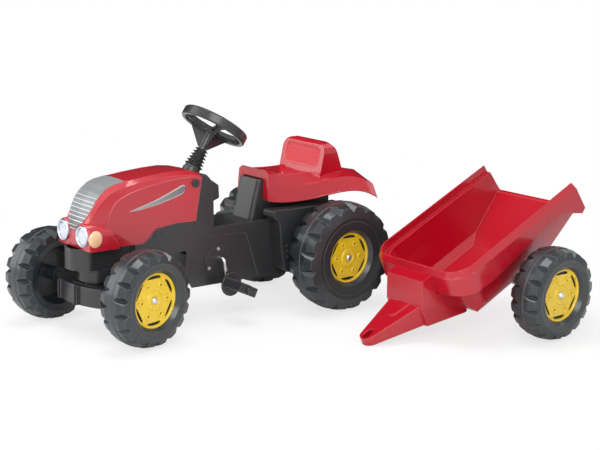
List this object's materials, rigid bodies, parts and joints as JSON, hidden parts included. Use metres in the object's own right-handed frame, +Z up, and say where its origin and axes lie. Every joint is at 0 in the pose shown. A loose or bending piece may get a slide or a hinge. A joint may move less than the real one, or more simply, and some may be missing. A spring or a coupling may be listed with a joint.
{
  "type": "child's pedal tractor with trailer",
  "caption": "Child's ride-on pedal tractor with steerable front axle, chain-driven rear axle and steering wheel, with an unhitched two-wheeled tipping trailer parked beside it.",
  "frame": {"origin": "on the floor, midway across the width and length of tractor and parked trailer together", "axes": "+Z up; the tractor faces -Y; its driver's left is +X, the side the trailer stands on"},
  "size_m": [0.8633, 1.128, 0.4964],
  "materials": {
    "red_plastic": "moulded gloss red",
    "black_plastic": "moulded semi-matt black",
    "wheel_black": "blow-moulded, fine grain",
    "rim_yellow": "moulded gloss yellow",
    "zinc_steel": "zinc plated",
    "axle_steel": "bright drawn bar",
    "chain_steel": "oiled steel",
    "grille_silver": "silver film on plastic",
    "lens_white": "white gloss",
    "lens_orange": "orange gloss",
    "nylon": "nylon"
  },
  "bodies": {
    "chassis": {"chassis": "black_plastic", "dash_hood": "black_plastic", "seat_pedestal": "black_plastic", "rear_axle_bracket_left": "black_plastic", "rear_axle_bracket_right": "black_plastic", "rear_axle_bushes": "nylon", "bonnet": "red_plastic", "grille": "grille_silver", "headlamp_lenses": "lens_white", "indicator_lenses": "lens_orange", "bonnet_plugs": "black_plastic", "bonnet_screws": "black_plastic", "column_bush": "nylon", "steering_bellows": "black_plastic", "turntable_ring": "black_plastic", "chain": "chain_steel", "crank_disc_left": "black_plastic", "crank_disc_right": "black_plastic", "disc_screws": "zinc_steel", "seat": "red_plastic", "seat_bolts": "zinc_steel", "hitch_bracket": "black_plastic", "hitch_pin": "black_plastic"},
    "front_axle": {"front_axle_beam": "black_plastic", "turntable_plate": "black_plastic", "kingpin": "zinc_steel", "front_axle_rod": "axle_steel", "front_cap_left": "zinc_steel", "front_cap_right": "zinc_steel"},
    "steering": {"steering_wheel": "black_plastic", "steering_wheel_cap": "black_plastic", "steering_shaft": "axle_steel"},
    "front_wheel_left": {"front_tyre_left": "wheel_black", "front_rim_left": "rim_yellow"},
    "front_wheel_right": {"front_tyre_right": "wheel_black", "front_rim_right": "rim_yellow"},
    "rear_axle": {"rear_axle_rod": "axle_steel", "rear_sprocket": "chain_steel", "rear_tyre_left": "wheel_black", "rear_rim_left": "rim_yellow", "rear_cap_left": "zinc_steel", "rear_cap_right": "zinc_steel"},
    "rear_wheel_right": {"rear_tyre_right": "wheel_black", "rear_rim_right": "rim_yellow"},
    "crank": {"crankshaft": "axle_steel", "chainring": "chain_steel"},
    "pedal_left": {"pedal_left": "black_plastic"},
    "pedal_right": {"pedal_right": "black_plastic"},
    "trailer_carriage": {"trailer_axle_rod": "axle_steel", "trailer_cap_left": "zinc_steel", "trailer_cap_right": "zinc_steel"},
    "trailer_wheel_left": {"trailer_tyre_left": "wheel_black", "trailer_rim_left": "rim_yellow"},
    "trailer_wheel_right": {"trailer_tyre_right": "wheel_black", "trailer_rim_right": "rim_yellow"},
    "trailer_body": {"trailer_tub": "red_plastic", "trailer_drawbar": "red_plastic", "trailer_axle_blocks": "black_plastic"}
  },
  "joints": [
    {"name": "front_axle_steer", "type": "hinge", "parent": "chassis", "child": "front_axle", "pos_m": [-0.22115, -0.42601, 0.1155], "axis": [0, 0, 1], "range_deg": [-27, 5]},
    {"name": "steering_turn", "type": "hinge", "parent": "chassis", "child": "steering", "pos_m": [-0.22115, -0.10902, 0.4445], "axis": [0, 0.5446, 0.8387], "range_deg": [-91.86, 17.18]},
    {"name": "front_wheel_left_spin", "type": "hinge", "parent": "front_axle", "child": "front_wheel_left", "pos_m": [-0.06606, -0.39587, 0.107], "axis": [0.9816, 0.1908, 0], "continuous": true},
    {"name": "front_wheel_right_spin", "type": "hinge", "parent": "front_axle", "child": "front_wheel_right", "pos_m": [-0.37625, -0.45616, 0.107], "axis": [0.9816, 0.1908, 0], "continuous": true},
    {"name": "rear_axle_spin", "type": "hinge", "parent": "chassis", "child": "rear_axle", "pos_m": [-0.22115, 0.15898, 0.1325], "axis": [1, 0, 0], "continuous": true},
    {"name": "rear_wheel_right_spin", "type": "hinge", "parent": "rear_axle", "child": "rear_wheel_right", "pos_m": [-0.37715, 0.15898, 0.1325], "axis": [1, 0, 0], "continuous": true},
    {"name": "crank_spin", "type": "hinge", "parent": "chassis", "child": "crank", "pos_m": [-0.22115, -0.12801, 0.142], "axis": [1, 0, 0], "continuous": true},
    {"name": "pedal_left_spin", "type": "hinge", "parent": "crank", "child": "pedal_left", "pos_m": [-0.22115, -0.11554, 0.08331], "axis": [1, 0, 0], "continuous": true},
    {"name": "pedal_right_spin", "type": "hinge", "parent": "crank", "child": "pedal_right", "pos_m": [-0.22115, -0.14049, 0.20069], "axis": [1, 0, 0], "continuous": true},
    {"name": "trailer_pull_away", "type": "slide", "parent": "chassis", "child": "trailer_carriage", "axis": [0, 1, 0], "range_m": [0, 0.6]},
    {"name": "trailer_wheel_left_spin", "type": "hinge", "parent": "trailer_carriage", "child": "trailer_wheel_left", "pos_m": [0.39185, 0.40115, 0.107], "axis": [1, 0, 0], "continuous": true},
    {"name": "trailer_wheel_right_spin", "type": "hinge", "parent": "trailer_carriage", "child": "trailer_wheel_right", "pos_m": [0.00185, 0.40115, 0.107], "axis": [1, 0, 0], "continuous": true},
    {"name": "trailer_tip", "type": "hinge", "parent": "trailer_carriage", "child": "trailer_body", "pos_m": [0.19685, 0.40115, 0.107], "axis": [1, 0, 0], "range_deg": [-60, 0]}
  ],
  "couplings": [
    {"joint": "steering_turn", "follows": "front_axle_steer", "ratio": 3.395},
    {"joint": "crank_spin", "follows": "rear_axle_spin", "ratio": 0.75}
  ]
}
